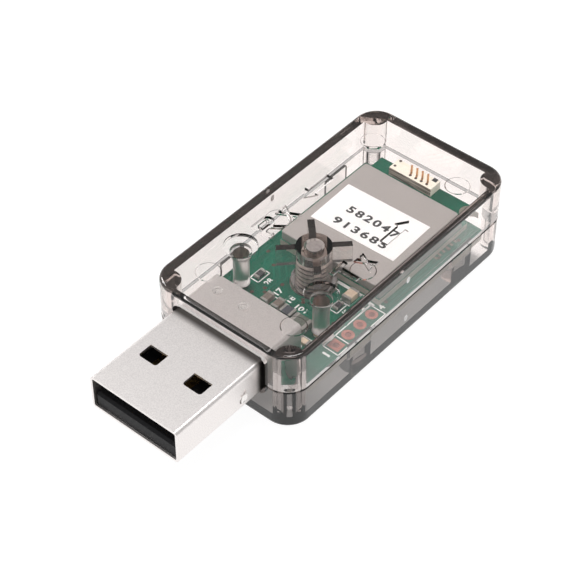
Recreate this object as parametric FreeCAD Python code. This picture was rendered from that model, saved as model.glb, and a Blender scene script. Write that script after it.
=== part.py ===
import FreeCAD, Part
import math
import os

from FreeCAD import Vector

# A wireless dongle in a clear two-part moulded case, with a flat computer plug.
# All sizes are in millimetres.
# X is across the case, Y runs from the plug to the aerial end and Z is up.
# The model is drawn with Y = 0 at the case's front face and Z = 0 at its underside, and is
# moved at the end so that the origin is the middle of the whole dongle's footprint.

# The moulded case
case_width = 19.8
case_length = 38.1
seam_height = 5.3
plug_headroom = 0.91
seam_gap = 0.04
seam_bevel = 0.12
wall = 1.05
top_thickness = 1.1
bottom_thickness = 1.1
corner_radius = 2.9
edge_round = 0.5
edge_steps = 3

# The corner posts, with the locating pins of the top shell and their sockets
post_radius = 1.57
post_inset = 1.41
pin_radius = 0.52
pin_length = 2.7
pin_clearance = 0.08
socket_floor = 1.5

# The screw boss, its gussets and the screw
boss_y = 15.5
boss_radius = 2.03
gusset_reach = 4.15
gusset_thickness = 0.8
gusset_depth = 2.3
thread_radius = 1.1
thread_clearance = 0.02
point_radius = 0.87
point_length = 0.8
head_radius = 2.2
head_height = 1.35
head_crown = 0.55
head_recess = 0.45
shank_clearance = 0.3
head_clearance = 0.25
drive_width = 0.55
drive_length = 2.3
drive_depth = 0.75
sleeve_wall = 0.42
sleeve_rise = 0.6
sleeve_clearance = 0.08
sleeve_flat_gap = 0.06
sleeve_flat_drop = 0.05
centre_post_radius = 3.3

# The light pipes and the shallow rings round their tops. A share is of half the board's width
pipe_share = 0.667
pipe_y = 9.95
pipe_root_radius = 1.23
pipe_tip_radius = 0.97
ring_radius = 1.87
ring_depth = 0.25
pipe_gap = 0.1

# The plug: a folded steel shell round a moulded tongue
plug_width = 12.0
plug_height = 4.5
plug_reach = 12.7
plug_tail = 6.25
plug_sheet = 0.3
plug_bend = 0.5
plug_opening_clearance = 0.42
window_width = 2.45
window_length = 1.9
window_x = 3.05
window_from_tip = 6.2
window_corner = 0.35
dimple_radius = 0.45
dimple_depth = 0.13
dimple_spots = ((-0.35, 4.35), (-3.95, 4.35))
side_dimple_from_case = 2.9
leg_from_tail = 1.7
leg_width = 1.3
leg_below_board = 0.9
tail_cutout_length = 2.4

# The tongue and its four contacts
tongue_height = 1.84
tongue_setback = 0.25
tongue_side_gap = 0.25
tongue_chamfer = 0.3
block_depth = 9.1
block_end_gap = 0.35
contact_width = 1.0
contact_thickness = 0.2
contact_spots = (-3.5, -1.0, 1.0, 3.5)
power_contact_setback = 1.3
signal_contact_setback = 2.3
contact_bend = 0.35
contact_from_tail = 1.4
tail_below_board = 0.7

# The main board
board_side_gap = 0.45
board_front = 3.25
board_back_gap = 3.4
board_thickness = 1.0
board_corner = 0.6
board_top = 4.09
board_clearance = 0.12
hole_clearance = 0.12
tail_slot_clearance = 0.15

# The rests that carry the board in the bottom shell
rest_radius = 1.9
rest_from_wall = 0.65
front_rest_y = 11.85
back_rest_from_board_end = 4.85

# The row of plated holes at the board's right edge
header_share = 0.833
header_front = 10.05
header_pitch = 2.01
header_count = 4
header_pad_radius = 0.7
header_hole_radius = 0.36
plating = 0.035

# The radio module, its shield can, label and aerial
module_side_step = 1.65
module_front = 17.62
module_overhang = 1.2
module_thickness = 0.8
module_notch_radius = 1.1
module_notch_inset = 1.1
shield_side_step = 0.15
shield_front_step = 0.18
shield_back_step = 2.98
shield_height = 1.11
shield_sheet = 0.2
shield_bend = 0.3
label_side_margin = 0.87
label_length = 6.95
label_thickness = 0.06
label_corner = 0.4
label_turn = 1.6
aerial_width = 6.0
aerial_length = 1.85
aerial_height = 1.1
aerial_middle = -1.15

# Chip parts on the board: name, middle x as a share of half the board's width,
# middle y from the case's front, size along x, size along y, height
top_chips = (
    ("rx_led_resistor", -0.607, 12.4, 0.7, 1.3, 0.4),
    ("plug_capacitor_1", -0.226, 10.0, 0.85, 1.5, 0.75),
    ("plug_capacitor_2", -0.048, 10.0, 0.85, 1.5, 0.75),
    ("ferrite_bead", 0.14, 9.75, 1.5, 1.2, 0.85),
    ("resettable_fuse", 0.39, 9.3, 2.1, 1.7, 0.9),
    ("tx_led_resistor", 0.613, 7.75, 1.3, 0.7, 0.4),
    ("supply_inductor", 0.56, 16.1, 1.1, 1.7, 0.8),
    ("supply_resistor", 0.536, 14.2, 0.65, 1.2, 0.4),
)
# Chip parts under the board, the same but with middle y as a share of the way from the
# centre post to the board's end
bottom_chips = (
    ("bridge_capacitor_1", -0.548, 0.28, 0.65, 1.2, 0.5),
    ("bridge_capacitor_2", 0.548, 0.28, 0.65, 1.2, 0.5),
    ("crystal_capacitor_1", -0.345, 0.77, 0.65, 1.2, 0.5),
    ("crystal_capacitor_2", 0.345, 0.77, 0.65, 1.2, 0.5),
)
cap_share = 0.2
cap_growth = 0.02

# The indicator lights
led_width = 0.8
led_length = 1.6
led_base = 0.2
led_height = 0.48
led_dome_length = 0.95

# The chips under the board, at shares of the way from the centre post to the board's end,
# and the chips under the shield can, at shares of its length and half width
bridge_share = 0.29
bridge_size = 5.0
bridge_height = 0.85
crystal_share = 0.616
crystal_width = 3.2
crystal_length = 2.5
crystal_height = 0.75
radio_share = 0.642
radio_size = 5.0
radio_height = 0.7
radio_crystal_side_share = -0.485
radio_crystal_share = 0.172
chip_edge = 0.1
regulator_share = -0.655
regulator_y = 8.2
regulator_capacitor_y = 15.4
regulator_capacitor_width = 1.3
regulator_capacitor_length = 0.85
regulator_capacitor_height = 0.7
regulator_width = 1.6
regulator_length = 2.9
regulator_height = 1.0
regulator_leg_width = 0.35
regulator_leg_reach = 0.6
regulator_leg_pitch = 0.95
regulator_leg_thickness = 0.15

# Heights that follow from the sizes above
plug_bottom = board_top
plug_top = plug_bottom + plug_height
plug_middle = plug_bottom + plug_height / 2
case_height = plug_top + plug_headroom + top_thickness
half_width = case_width / 2
inner_half = half_width - wall
inner_front = wall
inner_back = case_length - wall
inner_radius = corner_radius - wall
ceiling = case_height - top_thickness
top_start = seam_height + seam_gap / 2
bottom_end = seam_height - seam_gap / 2
board_bottom = board_top - board_thickness
board_half = inner_half - board_side_gap
board_back = case_length - board_back_gap
pipe_x = pipe_share * board_half
header_x = header_share * board_half
rest_x = inner_half - rest_from_wall
rest_rows = (front_rest_y, board_back - back_rest_from_board_end)
sleeve_top = board_top + sleeve_rise
sleeve_bore = boss_radius + sleeve_clearance
sleeve_radius = sleeve_bore + sleeve_wall
boss_end = board_bottom + board_thickness / 2
head_seat = head_recess + head_height
screw_tip = ceiling - 0.1
module_top = board_top + module_thickness
module_half = board_half - module_side_step
module_back = board_back + module_overhang
shield_top = module_top + shield_height
shield_half = module_half - shield_side_step
shield_front = module_front + shield_front_step
shield_back = module_back - shield_back_step
shield_middle = (shield_front + shield_back) / 2
label_half = shield_half - label_side_margin
corner_spots = [
    (side * (half_width - post_inset), y)
    for side in (-1, 1)
    for y in (post_inset, case_length - post_inset)
]


def slab(x0, x1, y0, y1, z0, z1):
    """A block between two corners."""
    return Part.makeBox(x1 - x0, y1 - y0, z1 - z0, Vector(x0, y0, z0))


def disc(x, y, radius, z0, z1):
    """An upright cylinder."""
    return Part.makeCylinder(radius, z1 - z0, Vector(x, y, z0))


def centred_slab(x, y, x_size, y_size, z0, z1):
    """A block centred on a point of the plan."""
    return slab(x - x_size / 2, x + x_size / 2, y - y_size / 2, y + y_size / 2, z0, z1)


def rounded_outline(x0, x1, y0, y1, radius, z):
    """A rectangle with four round corners, as one closed wire at height z."""
    corners = ((x1, y0, -90), (x1, y1, 0), (x0, y1, 90), (x0, y0, 180))
    edges = []
    last = None
    first = None
    for x, y, start in corners:
        centre = Vector(
            x - math.copysign(radius, x - (x0 + x1) / 2),
            y - math.copysign(radius, y - (y0 + y1) / 2),
            z,
        )
        bend = Part.makeCircle(radius, centre, Vector(0, 0, 1), start, start + 90)
        begin = bend.valueAt(bend.FirstParameter)
        end = bend.valueAt(bend.LastParameter)
        if last is None:
            first = begin
        else:
            edges.append(Part.makeLine(last, begin))
        edges.append(bend)
        last = end
    edges.append(Part.makeLine(last, first))
    return Part.Wire(edges)


def rounded_slab(x0, x1, y0, y1, radius, z0, z1):
    """An upright block with round vertical corners."""
    face = Part.Face(rounded_outline(x0, x1, y0, y1, radius, z0))
    return face.extrude(Vector(0, 0, z1 - z0))


def eased_block(z0, z1):
    """The outside of one shell, lofted through its outlines from the seam to its plate.

    The seam's edge has a small bevel and the plate's edge is rounded in even steps.
    """
    way = 1 if z1 > z0 else -1
    sections = [(z0, seam_bevel), (z0 + way * seam_bevel, 0)]
    for step in range(edge_steps + 1):
        angle = math.pi / 2 * step / edge_steps
        z = z1 - way * edge_round * (1 - math.sin(angle))
        sections.append((z, edge_round * (1 - math.cos(angle))))
    wires = [
        rounded_outline(
            -half_width + inset,
            half_width - inset,
            inset,
            case_length - inset,
            corner_radius - inset,
            z,
        )
        for z, inset in sections
    ]
    return Part.makeLoft(wires, True, True)


def edges_at(shape, z):
    """The edges of a shape that lie whole in one horizontal plane."""
    return [
        edge
        for edge in shape.Edges
        if abs(edge.BoundBox.ZMin - z) < 1e-6 and abs(edge.BoundBox.ZMax - z) < 1e-6
    ]


def case_hollow(z0, z1):
    """The inside of the case between two heights."""
    return rounded_slab(
        -inner_half, inner_half, inner_front, inner_back, inner_radius, z0, z1
    )


def plug_section(grow, y0, y1):
    """The plug's rounded section, grown all round, from y0 to y1."""
    half = plug_width / 2 + grow
    radius = plug_bend + grow
    low = plug_bottom - grow
    high = plug_top + grow
    section = rounded_slab(-half, half, low, high, radius, -y1, -y0)
    section.rotate(Vector(0, 0, 0), Vector(1, 0, 0), 90)
    return section


def plug_opening():
    """The hole in the case's front wall that the plug comes out of."""
    return plug_section(plug_opening_clearance, -wall, 2 * wall)


def gussets():
    """Four thin webs that stiffen the boss, on its diagonals."""
    low = ceiling - gusset_depth
    webs = []
    for turn in (45, 135, 225, 315):
        web = slab(0, gusset_reach, -gusset_thickness / 2, gusset_thickness / 2, low, ceiling)
        web.rotate(Vector(0, 0, 0), Vector(0, 0, 1), turn)
        web.translate(Vector(0, boss_y, 0))
        webs.append(web)
    return webs


def light_pipes():
    """Two tapered posts that carry the lights up to the lid."""
    tip = board_top + led_height + pipe_gap
    return [
        Part.makeCone(
            pipe_tip_radius,
            pipe_root_radius,
            ceiling - tip,
            Vector(side * pipe_x, pipe_y, tip),
        )
        for side in (-1, 1)
    ]


def pin(x, y):
    """A locating pin below a corner post of the top shell."""
    return disc(x, y, pin_radius, seam_height - pin_length, top_start)


def top_shell():
    """The lid: plate, walls, screw boss with gussets, light pipes, posts and pins."""
    outside = eased_block(top_start, case_height)
    posts = [disc(x, y, post_radius, top_start, ceiling).common(outside) for x, y in corner_spots]
    hollow = case_hollow(seam_height - 1, ceiling)
    boss = disc(0, boss_y, boss_radius, boss_end, ceiling)
    shell = outside.cut(hollow)
    inner_parts = posts + [boss] + gussets() + light_pipes() + [pin(x, y) for x, y in corner_spots]
    shell = shell.fuse(inner_parts)
    pilot = disc(0, boss_y, thread_radius + thread_clearance, boss_end - 1, ceiling)
    rings = [
        disc(side * pipe_x, pipe_y, ring_radius, case_height - ring_depth, case_height + 1)
        for side in (-1, 1)
    ]
    shell = shell.cut([pilot, plug_opening()] + rings)
    return shell.removeSplitter()


def centre_post():
    """The post under the board: a foot that carries it and a sleeve through its hole.

    Above the board the sleeve is cut flat, clear of the module's front edge.
    """
    foot = disc(0, boss_y, centre_post_radius, bottom_thickness / 2, board_bottom)
    sleeve = disc(0, boss_y, sleeve_radius, bottom_thickness, sleeve_top)
    flat = module_front - sleeve_flat_gap
    beyond = slab(
        -sleeve_radius,
        sleeve_radius,
        flat,
        boss_y + 2 * sleeve_radius,
        board_top - sleeve_flat_drop,
        sleeve_top + 1,
    )
    return foot.fuse(sleeve.cut(beyond))


def screw_passage():
    """The stepped hole for the screw: head recess, clearance hole and seat of the boss."""
    recess = disc(0, boss_y, head_radius + head_clearance, -1, head_seat)
    clear = disc(0, boss_y, thread_radius + shank_clearance, 0, sleeve_top)
    seat = disc(0, boss_y, sleeve_bore, boss_end, sleeve_top + 1)
    return recess.fuse([clear, seat])


def board_pocket():
    """The room that the board takes above its rests, with its clearance."""
    grow = board_clearance
    half = board_half + grow
    return slab(-half, half, board_front - grow, board_back + grow, board_bottom, case_height)


def bottom_shell():
    """The tray: floor, walls, sockets, board rests and the screw's post."""
    outside = eased_block(bottom_end, 0)
    hollow = case_hollow(bottom_thickness, seam_height + 1)
    shell = outside.cut(hollow)
    low = bottom_thickness / 2
    posts = [disc(x, y, post_radius, low, bottom_end).common(outside) for x, y in corner_spots]
    rests = [
        disc(side * rest_x, y, rest_radius, low, bottom_end).common(outside).cut(board_pocket())
        for side in (-1, 1)
        for y in rest_rows
    ]
    shell = shell.fuse(posts + rests + [centre_post()])
    sockets = [
        disc(x, y, pin_radius + pin_clearance, socket_floor, seam_height + 1)
        for x, y in corner_spots
    ]
    shell = shell.cut([screw_passage(), plug_opening()] + sockets)
    return shell.removeSplitter()


def case_screw():
    """The pan-head screw with a flat dog point; its thread is at its mean size."""
    head_base = head_seat - head_height
    crown_radius = head_radius - head_crown
    crown_end = head_base + head_crown
    profile = Part.Wire(
        [
            Part.makeLine(Vector(0, 0, head_base), Vector(crown_radius, 0, head_base)),
            Part.makeLine(Vector(crown_radius, 0, head_base), Vector(head_radius, 0, crown_end)),
            Part.makeLine(Vector(head_radius, 0, crown_end), Vector(head_radius, 0, head_seat)),
            Part.makeLine(Vector(head_radius, 0, head_seat), Vector(thread_radius, 0, head_seat)),
            Part.makeLine(
                Vector(thread_radius, 0, head_seat), Vector(thread_radius, 0, screw_tip - point_length)
            ),
            Part.makeLine(
                Vector(thread_radius, 0, screw_tip - point_length),
                Vector(point_radius, 0, screw_tip - point_length + thread_radius - point_radius),
            ),
            Part.makeLine(
                Vector(point_radius, 0, screw_tip - point_length + thread_radius - point_radius),
                Vector(point_radius, 0, screw_tip),
            ),
            Part.makeLine(Vector(point_radius, 0, screw_tip), Vector(0, 0, screw_tip)),
            Part.makeLine(Vector(0, 0, screw_tip), Vector(0, 0, head_base)),
        ]
    )
    screw = Part.Face(profile).revolve(Vector(0, 0, 0), Vector(0, 0, 1), 360)
    drive_top = head_base + drive_depth
    slot_x = centred_slab(0, 0, drive_length, drive_width, head_base - 1, drive_top)
    slot_y = centred_slab(0, 0, drive_width, drive_length, head_base - 1, drive_top)
    screw = screw.cut([slot_x, slot_y])
    screw.translate(Vector(0, boss_y, 0))
    return screw.removeSplitter()


def shell_legs():
    """Two legs of the plug shell that go down through slots in the board."""
    y = plug_tail - leg_from_tail
    low = board_bottom - leg_below_board
    top = plug_bottom + plug_bend + plug_sheet
    legs = []
    for side in (-1, 1):
        outer = side * plug_width / 2
        inner = side * (plug_width / 2 - plug_sheet)
        legs.append(
            slab(min(outer, inner), max(outer, inner), y - leg_width / 2, y + leg_width / 2, low, top)
        )
    return legs


def tail_cutout():
    """The gap in the shell's floor that the contacts' tails go down through."""
    half = plug_width / 2 - plug_bend - plug_sheet
    front = plug_tail - tail_cutout_length
    return slab(-half, half, front, plug_tail + 1, plug_bottom - 1, plug_bottom + plug_sheet)


def window_cutters():
    """Two latch windows through the plug's top and bottom faces, round at their front corners."""
    y = window_from_tip - plug_reach
    front = y - window_length / 2
    cutters = []
    for side in (-1, 1):
        cutter = centred_slab(
            side * window_x, y, window_width, window_length, plug_bottom - 1, plug_top + 1
        )
        front_edges = [
            edge
            for edge in cutter.Edges
            if edge.BoundBox.ZLength > plug_height and edge.BoundBox.YMax < front + 1e-6
        ]
        cutters.append(cutter.makeFillet(window_corner, front_edges))
    return cutters


def plug_shell():
    """The plug's folded sheet: one wall thickness all round, with windows, dimples and legs."""
    outside = plug_section(0, -plug_reach, plug_tail)
    inside = plug_section(-plug_sheet, -plug_reach - 1, plug_tail + 1)
    shell = outside.cut(inside)
    shell = shell.fuse(shell_legs())
    punches = [
        disc(x, y, dimple_radius, plug_top - dimple_depth, plug_top + 1) for x, y in dimple_spots
    ]
    for side in (-1, 1):
        start = side * (plug_width / 2 - dimple_depth)
        punches.append(
            Part.makeCylinder(
                dimple_radius,
                1,
                Vector(start, -side_dimple_from_case, plug_middle),
                Vector(side, 0, 0),
            )
        )
    shell = shell.cut(window_cutters() + [tail_cutout()] + punches)
    return shell.removeSplitter()


def contact_path(setback):
    """One contact's strip seen from the side: along the tongue and down through the board."""
    start = setback - plug_reach
    top = plug_bottom + plug_sheet + tongue_height
    turn = plug_tail - contact_from_tail
    low = board_bottom - tail_below_board
    inner = contact_bend
    outer = contact_bend + contact_thickness
    bend_y = turn - outer
    bend_z = top - outer
    diagonal = math.sqrt(0.5)
    points = {
        "outer_start": Vector(0, start, top),
        "outer_bend": Vector(0, bend_y, top),
        "outer_middle": Vector(0, bend_y + outer * diagonal, bend_z + outer * diagonal),
        "outer_down": Vector(0, turn, bend_z),
        "outer_end": Vector(0, turn, low),
        "inner_end": Vector(0, turn - contact_thickness, low),
        "inner_down": Vector(0, turn - contact_thickness, bend_z),
        "inner_middle": Vector(0, bend_y + inner * diagonal, bend_z + inner * diagonal),
        "inner_bend": Vector(0, bend_y, top - contact_thickness),
        "inner_start": Vector(0, start, top - contact_thickness),
    }
    return Part.Wire(
        [
            Part.makeLine(points["outer_start"], points["outer_bend"]),
            Part.Arc(points["outer_bend"], points["outer_middle"], points["outer_down"]).toShape(),
            Part.makeLine(points["outer_down"], points["outer_end"]),
            Part.makeLine(points["outer_end"], points["inner_end"]),
            Part.makeLine(points["inner_end"], points["inner_down"]),
            Part.Arc(points["inner_down"], points["inner_middle"], points["inner_bend"]).toShape(),
            Part.makeLine(points["inner_bend"], points["inner_start"]),
            Part.makeLine(points["inner_start"], points["outer_start"]),
        ]
    )


def plug_contact(x):
    """One of the four contacts; the outer two, for power, reach further forward."""
    is_power = abs(x) > contact_width * 2
    setback = power_contact_setback if is_power else signal_contact_setback
    strip = Part.Face(contact_path(setback)).extrude(Vector(contact_width, 0, 0))
    strip.translate(Vector(x - contact_width / 2, 0, 0))
    return strip


def plug_insulator():
    """The moulded tongue and the block behind it, fitted inside the plug shell."""
    floor = plug_bottom + plug_sheet
    half = plug_width / 2 - plug_sheet - tongue_side_gap
    front = tongue_setback - plug_reach
    block_front = block_depth - plug_reach
    back = plug_tail - block_end_gap
    tongue = slab(-half, half, front, back, floor, floor + tongue_height)
    lip = [
        edge
        for edge in edges_at(tongue, floor + tongue_height)
        if abs(edge.CenterOfMass.y - front) < 1e-6
    ]
    tongue = tongue.makeChamfer(tongue_chamfer, lip)
    block = plug_section(-plug_sheet, block_front, back)
    body = tongue.fuse(block)
    body = body.cut([plug_contact(x) for x in contact_spots])
    return body.removeSplitter()


def header_spots():
    """The middles of the plated holes, from the front one to the back one."""
    return [header_front + step * header_pitch for step in range(header_count)]


def header_pad(index):
    """One plated hole: a barrel with a thin ring on the board's top, square on the first."""
    y = header_spots()[index]
    high = board_top + plating
    barrel = disc(header_x, y, header_hole_radius + plating, board_bottom, high)
    side = header_pad_radius * 2
    if index == 0:
        ring = centred_slab(header_x, y, side, side, board_top, high)
    else:
        ring = disc(header_x, y, header_pad_radius, board_top, high)
    hole = disc(header_x, y, header_hole_radius, board_bottom - 1, high + 1)
    return barrel.fuse(ring).cut(hole).removeSplitter()


def main_board():
    """The main board with its holes for the sleeve, the header, the contacts and the legs."""
    board = rounded_slab(
        -board_half, board_half, board_front, board_back, board_corner, board_bottom, board_top
    )
    low = board_bottom - 1
    high = board_top + 1
    holes = [disc(0, boss_y, sleeve_radius + hole_clearance, low, high)]
    holes += [
        disc(header_x, y, header_hole_radius + plating, low, high) for y in header_spots()
    ]
    tail_y = plug_tail - contact_from_tail - contact_thickness / 2
    tail_slot_width = contact_width + 2 * tail_slot_clearance
    tail_slot_length = contact_thickness + 2 * tail_slot_clearance
    holes += [
        centred_slab(x, tail_y, tail_slot_width, tail_slot_length, low, high)
        for x in contact_spots
    ]
    leg_y = plug_tail - leg_from_tail
    slot_width = plug_sheet + 2 * hole_clearance
    slot_length = leg_width + 2 * hole_clearance
    leg_x = plug_width / 2 - plug_sheet / 2
    holes += [
        centred_slab(side * leg_x, leg_y, slot_width, slot_length, low, high) for side in (-1, 1)
    ]
    return board.cut(holes).removeSplitter()


def module_board():
    """The radio module's board, with the round notch in its far right corner."""
    board = slab(-module_half, module_half, module_front, module_back, board_top, module_top)
    notch = disc(
        module_half,
        module_back - module_notch_inset,
        module_notch_radius,
        board_top - 1,
        module_top + 1,
    )
    return board.cut(notch).removeSplitter()


def module_shield():
    """The shield can: a shallow drawn lid of thin sheet with a bevelled rim, open below."""
    sections = (
        (module_top, 0),
        (shield_top - shield_bend, 0),
        (shield_top, shield_bend),
    )
    wires = [
        rounded_outline(
            -shield_half + inset,
            shield_half - inset,
            shield_front + inset,
            shield_back - inset,
            2 * shield_bend - inset,
            z,
        )
        for z, inset in sections
    ]
    outside = Part.makeLoft(wires, True, True)
    inside = slab(
        -shield_half + shield_sheet,
        shield_half - shield_sheet,
        shield_front + shield_sheet,
        shield_back - shield_sheet,
        module_top - 1,
        shield_top - shield_bend,
    )
    return outside.cut(inside)


def module_label():
    """The paper label stuck on the shield can, a little askew."""
    depth = label_length / 2
    label = rounded_slab(
        -label_half,
        label_half,
        -depth,
        depth,
        label_corner,
        shield_top,
        shield_top + label_thickness,
    )
    label.rotate(Vector(0, 0, 0), Vector(0, 0, 1), label_turn)
    label.translate(Vector(0, shield_middle, 0))
    return label


def chip_aerial():
    """The layered ceramic aerial at the module's far end."""
    return centred_slab(
        aerial_middle,
        module_back - aerial_length / 2,
        aerial_width,
        aerial_length,
        module_top,
        module_top + aerial_height,
    )


def end_capped_chip(x, y, x_size, y_size, z0, z1):
    """A chip part: a plain body with metal caps at the ends of its long way."""
    body = centred_slab(x, y, x_size, y_size, z0, z1)
    along_x = x_size > y_size
    length = max(x_size, y_size)
    cap_length = length * cap_share
    grow = cap_growth
    caps = []
    for side in (-1, 1):
        shift = side * (length - cap_length + grow) / 2
        cap_x = x + shift if along_x else x
        cap_y = y if along_x else y + shift
        cap_x_size = cap_length + grow if along_x else x_size + 2 * grow
        cap_y_size = y_size + 2 * grow if along_x else cap_length + grow
        cap_low = z0 if z0 >= board_top else z0 - grow
        cap_high = z1 + grow if z0 >= board_top else z1
        caps.append(centred_slab(cap_x, cap_y, cap_x_size, cap_y_size, cap_low, cap_high))
    return body.fuse(caps).removeSplitter()


def indicator_led(side):
    """A chip light under a light pipe: a flat base with a clear block on it."""
    x = side * pipe_x
    base = centred_slab(x, pipe_y, led_width, led_length, board_top, board_top + led_base)
    lens = centred_slab(
        x, pipe_y, led_width, led_dome_length, board_top + led_base, board_top + led_height
    )
    return base.fuse(lens).removeSplitter()


def under_board_y(share):
    """A place under the board, as a share of the way from the centre post to its end."""
    post_back = boss_y + centre_post_radius
    return post_back + share * (board_back - post_back)


def square_chip(x, y, x_size, y_size, z0, z1):
    """A moulded chip or metal can with bevelled upright edges."""
    block = centred_slab(x, y, x_size, y_size, z0, z1)
    upright = [edge for edge in block.Edges if edge.BoundBox.ZLength > (z1 - z0) / 2]
    return block.makeChamfer(chip_edge, upright)


def regulator():
    """The five-legged voltage regulator under the board."""
    high = board_bottom
    low = high - regulator_height
    body_high = high - regulator_leg_thickness / 2
    regulator_x = regulator_share * board_half
    body = centred_slab(
        regulator_x, regulator_y, regulator_width, regulator_length, low, body_high
    )
    legs = []
    for side, steps in ((-1, (-1, 0, 1)), (1, (-1, 1))):
        edge = regulator_x + side * regulator_width / 2
        reach = side * regulator_leg_reach
        for step in steps:
            y = regulator_y + step * regulator_leg_pitch
            x0 = min(edge - side * chip_edge, edge + reach)
            x1 = max(edge - side * chip_edge, edge + reach)
            y0 = y - regulator_leg_width / 2
            y1 = y + regulator_leg_width / 2
            legs.append(slab(x0, x1, y0, y1, high - regulator_leg_thickness, high))
    return body.fuse(legs).removeSplitter()


def save(name, shape):
    """Moves a sub-part to the shared frame and writes it as one file."""
    placed = shape.copy()
    placed.translate(Vector(0, (plug_reach - case_length) / 2, 0))
    if not placed.isValid():
        print("not valid:", name)
    placed.exportStep("parts/" + name + ".step")
    print(name, "solids", len(placed.Solids), "volume", round(placed.Volume, 3))


def build():
    """Makes every sub-part and writes its file."""
    os.makedirs("parts", exist_ok=True)
    save("top_shell", top_shell())
    save("bottom_shell", bottom_shell())
    save("case_screw", case_screw())
    save("plug_shell", plug_shell())
    save("plug_insulator", plug_insulator())
    for index, x in enumerate(contact_spots):
        save("plug_contact_" + str(index + 1), plug_contact(x))
    save("main_board", main_board())
    for index in range(header_count):
        save("header_pad_" + str(index + 1), header_pad(index))
    save("module_board", module_board())
    save("module_shield", module_shield())
    save("module_label", module_label())
    save("chip_aerial", chip_aerial())
    save("rx_led", indicator_led(-1))
    save("tx_led", indicator_led(1))
    for name, share, y, x_size, y_size, height in top_chips:
        x = share * board_half
        save(name, end_capped_chip(x, y, x_size, y_size, board_top, board_top + height))
    for name, share, y_share, x_size, y_size, height in bottom_chips:
        x = share * board_half
        y = under_board_y(y_share)
        save(name, end_capped_chip(x, y, x_size, y_size, board_bottom - height, board_bottom))
    bridge_y = under_board_y(bridge_share)
    bridge_low = board_bottom - bridge_height
    save("bridge_chip", square_chip(0, bridge_y, bridge_size, bridge_size, bridge_low, board_bottom))
    crystal_y = under_board_y(crystal_share)
    crystal_low = board_bottom - crystal_height
    save(
        "bridge_crystal",
        square_chip(0, crystal_y, crystal_width, crystal_length, crystal_low, board_bottom),
    )
    save("regulator", regulator())
    save(
        "regulator_capacitor",
        end_capped_chip(
            regulator_share * board_half,
            regulator_capacitor_y,
            regulator_capacitor_width,
            regulator_capacitor_length,
            board_bottom - regulator_capacitor_height,
            board_bottom,
        ),
    )
    shield_length = shield_back - shield_front
    radio_y = shield_front + radio_share * shield_length
    radio_high = module_top + radio_height
    save("radio_chip", square_chip(0, radio_y, radio_size, radio_size, module_top, radio_high))
    radio_crystal_x = radio_crystal_side_share * shield_half
    radio_crystal_y = shield_front + radio_crystal_share * shield_length
    save(
        "radio_crystal",
        square_chip(
            radio_crystal_x,
            radio_crystal_y,
            crystal_width,
            crystal_length,
            module_top,
            radio_high,
        ),
    )


build()
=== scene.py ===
import math

import bmesh
import bpy
from mathutils import Matrix, Vector


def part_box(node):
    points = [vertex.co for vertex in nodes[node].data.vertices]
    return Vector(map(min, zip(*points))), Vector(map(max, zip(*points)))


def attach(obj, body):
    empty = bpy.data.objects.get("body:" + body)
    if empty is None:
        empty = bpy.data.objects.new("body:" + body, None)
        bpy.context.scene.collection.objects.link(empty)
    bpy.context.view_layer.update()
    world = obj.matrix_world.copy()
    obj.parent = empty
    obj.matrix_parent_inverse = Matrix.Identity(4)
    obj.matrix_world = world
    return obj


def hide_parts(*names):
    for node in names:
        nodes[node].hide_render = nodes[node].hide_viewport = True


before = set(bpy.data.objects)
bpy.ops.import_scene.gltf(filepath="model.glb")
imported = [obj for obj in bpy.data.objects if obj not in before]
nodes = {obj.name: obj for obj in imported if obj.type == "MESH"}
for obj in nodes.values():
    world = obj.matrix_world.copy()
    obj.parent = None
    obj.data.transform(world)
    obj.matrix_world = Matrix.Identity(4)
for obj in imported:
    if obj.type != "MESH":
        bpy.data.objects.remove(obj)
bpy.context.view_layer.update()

# Bottom shell
# The tray half of the case, moulded in clear smoke-tinted polycarbonate and polished. The board
# lies on its rests, and its floor has the recess for the screw.

MILLIMETRE = 0.001
CASE_FRONT = -12.7
CASE_HALF_WIDTH = 9.9
RIM_HEIGHT = 5.28
GATE_Y = 19.35
GATE_LIFT = 0.45
GATE_RADIUS = 0.58
BOTTOM_GATE_Z = 2.5
TOP_GATE_Z = 8.3
CLEAR, PAINTED_SHADE, PAINTED_GLINT, FROSTED, SATIN = range(5)


def at(x, y, z):
    """A place in millimetres, with y counted from the case's front face."""
    return Vector((x, y + CASE_FRONT, z)) * MILLIMETRE


def in_millimetres(place):
    """The same the other way round: the millimetres of a place in the scene."""
    return place / MILLIMETRE - Vector((0.0, CASE_FRONT, 0.0))


def start_finish(name, roughness, metallic=0.0):
    """A new material, its node tree and its shader."""
    finish = bpy.data.materials.new(name)
    finish.use_nodes = True
    tree = finish.node_tree
    shader = tree.nodes["Principled BSDF"]
    shader.inputs["Roughness"].default_value = roughness
    shader.inputs["Metallic"].default_value = metallic
    return finish, tree, shader


def speckle(tree, per_millimetre, detail=2.0, stretch=(1.0, 1.0, 1.0)):
    """Noise that is fixed to the piece, with so many grains to a millimetre."""
    coordinates = tree.nodes.new("ShaderNodeTexCoord")
    mapping = tree.nodes.new("ShaderNodeMapping")
    noise = tree.nodes.new("ShaderNodeTexNoise")
    scale = per_millimetre / MILLIMETRE
    mapping.inputs["Scale"].default_value = [scale * s for s in stretch]
    noise.inputs["Scale"].default_value = 1.0
    noise.inputs["Detail"].default_value = detail
    tree.links.new(coordinates.outputs["Object"], mapping.inputs["Vector"])
    tree.links.new(mapping.outputs["Vector"], noise.inputs["Vector"])
    return noise.outputs["Fac"]


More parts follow.
